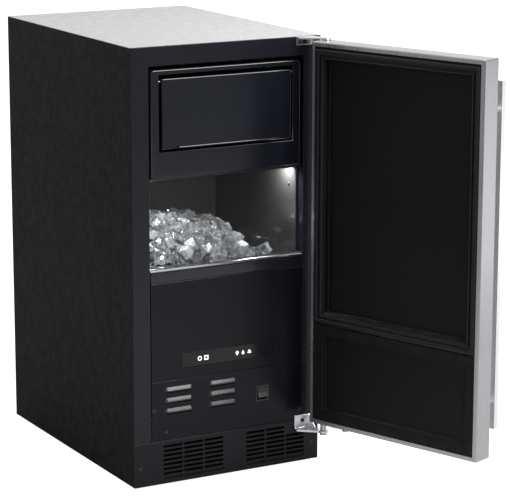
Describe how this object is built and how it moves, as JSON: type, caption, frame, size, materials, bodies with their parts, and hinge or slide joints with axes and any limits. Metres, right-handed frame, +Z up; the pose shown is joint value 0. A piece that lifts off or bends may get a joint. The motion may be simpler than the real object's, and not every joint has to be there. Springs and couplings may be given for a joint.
{
  "type": "ice maker",
  "caption": "Built-under clear-ice maker with an insulated bin behind a right-hinged steel door, a touch panel, louvres and a vented kick plate.",
  "frame": {"origin": "the floor point midway between the four levelling feet", "axes": "+Z up, the front with its door faces -Y, +X to the right as seen from the front"},
  "size_m": [0.5256, 0.9383, 0.8],
  "materials": {
    "cabinet_black": "fine pebble-textured powder coat",
    "frame_slate": "smooth satin paint",
    "top_grey": "satin light grey paint",
    "galvanised": "dull galvanised sheet",
    "kick_black": "satin black paint",
    "panel_black": "fine satin moulded plastic",
    "window_black": "polished",
    "icon_white": "backlit print",
    "liner_black": "glossy vacuum-formed",
    "cover_black": "semi-gloss moulded",
    "stainless": "long-grain brushed",
    "door_liner": "satin moulded plastic",
    "gasket": "soft satin",
    "zinc": "bright plated",
    "steel": "plain",
    "copper": "drawn tube",
    "ice": "clear cubes",
    "foam": "rigid foam",
    "board": "lacquered board",
    "lamp": "frosted lens",
    "enamel_black": "gloss enamel",
    "white_plastic": "moulded",
    "dark_plastic": "moulded",
    "foot_black": "moulded on steel",
    "rubber_black": "matt",
    "aluminium_fin": "thin fins"
  },
  "bodies": {
    "cabinet": {"side_panel_left": "cabinet_black", "side_panel_right": "cabinet_black", "top_panel": "top_grey", "back_panel": "galvanised", "base_pan": "galvanised", "front_stile_left": "frame_slate", "front_stile_right": "frame_slate", "front_rail_top": "frame_slate", "kick_plate": "kick_black", "louver_panel": "panel_black", "control_panel": "panel_black", "display_window": "window_black", "display_icons": "icon_white", "display_board": "board", "bin_lip": "panel_black", "bin_liner": "liner_black", "insulation_foam": "foam", "bin_plugs": "dark_plastic", "bin_light": "lamp", "bin_sensor": "copper", "ice_heap": "ice", "evaporator_cover": "cover_black", "flap_pins": "steel", "module_frame": "steel", "evaporator_plate": "steel", "evaporator_coil": "copper", "cutter_grid": "steel", "water_trough": "dark_plastic", "water_distributor": "white_plastic", "pump_motor": "dark_plastic", "compressor": "enamel_black", "compressor_mounts": "rubber_black", "condenser": "aluminium_fin", "fan_shroud": "dark_plastic", "fan_motor": "dark_plastic", "refrigerant_lines": "copper", "water_valve": "white_plastic", "drain_spigot": "steel", "cord_gland": "rubber_black", "control_box": "galvanised", "switch_bezel": "window_black", "foot_sockets": "galvanised", "hinge_brackets": "zinc", "hinge_pins": "zinc", "cabinet_screws": "zinc"},
    "door": {"door_shell": "stainless", "door_core": "foam", "door_upper_liner": "door_liner", "door_lower_liner": "door_liner", "door_gasket": "gasket", "door_hinge_blocks": "steel", "door_handle": "stainless"},
    "flap": {"access_flap": "cover_black"},
    "rocker": {"rocker_switch": "window_black"},
    "fan": {"condenser_fan": "dark_plastic"},
    "impeller": {"pump_impeller": "white_plastic"},
    "foot_front_left_body": {"foot_front_left": "foot_black"},
    "foot_front_right_body": {"foot_front_right": "foot_black"},
    "foot_back_left_body": {"foot_back_left": "foot_black"},
    "foot_back_right_body": {"foot_back_right": "foot_black"}
  },
  "joints": [
    {"name": "door_hinge", "type": "hinge", "parent": "cabinet", "child": "door", "pos_m": [0.179, -0.3015, 0.447], "axis": [0, 0, 1], "range_deg": [-110, 10]},
    {"name": "flap_hinge", "type": "hinge", "parent": "cabinet", "child": "flap", "pos_m": [0, -0.2565, 0.737], "axis": [-1, 0, 0], "range_deg": [0, 75]},
    {"name": "rocker_pivot", "type": "hinge", "parent": "cabinet", "child": "rocker", "pos_m": [0.0699, -0.2585, 0.153], "axis": [1, 0, 0], "range_deg": [0, 24]},
    {"name": "fan_spin", "type": "hinge", "parent": "cabinet", "child": "fan", "pos_m": [-0.066, -0.1785, 0.092], "axis": [0, 1, 0], "continuous": true},
    {"name": "impeller_spin", "type": "hinge", "parent": "cabinet", "child": "impeller", "pos_m": [0.079, -0.188, 0.584], "axis": [0, 0, 1], "continuous": true},
    {"name": "front_left_foot_screw", "type": "slide", "parent": "cabinet", "child": "foot_front_left_body", "axis": [0, 0, -1], "range_m": [0, 0.02]},
    {"name": "front_right_foot_screw", "type": "slide", "parent": "cabinet", "child": "foot_front_right_body", "axis": [0, 0, -1], "range_m": [0, 0.02]},
    {"name": "back_left_foot_screw", "type": "slide", "parent": "cabinet", "child": "foot_back_left_body", "axis": [0, 0, -1], "range_m": [0, 0.02]},
    {"name": "back_right_foot_screw", "type": "slide", "parent": "cabinet", "child": "foot_back_right_body", "axis": [0, 0, -1], "range_m": [0, 0.02]}
  ]
}
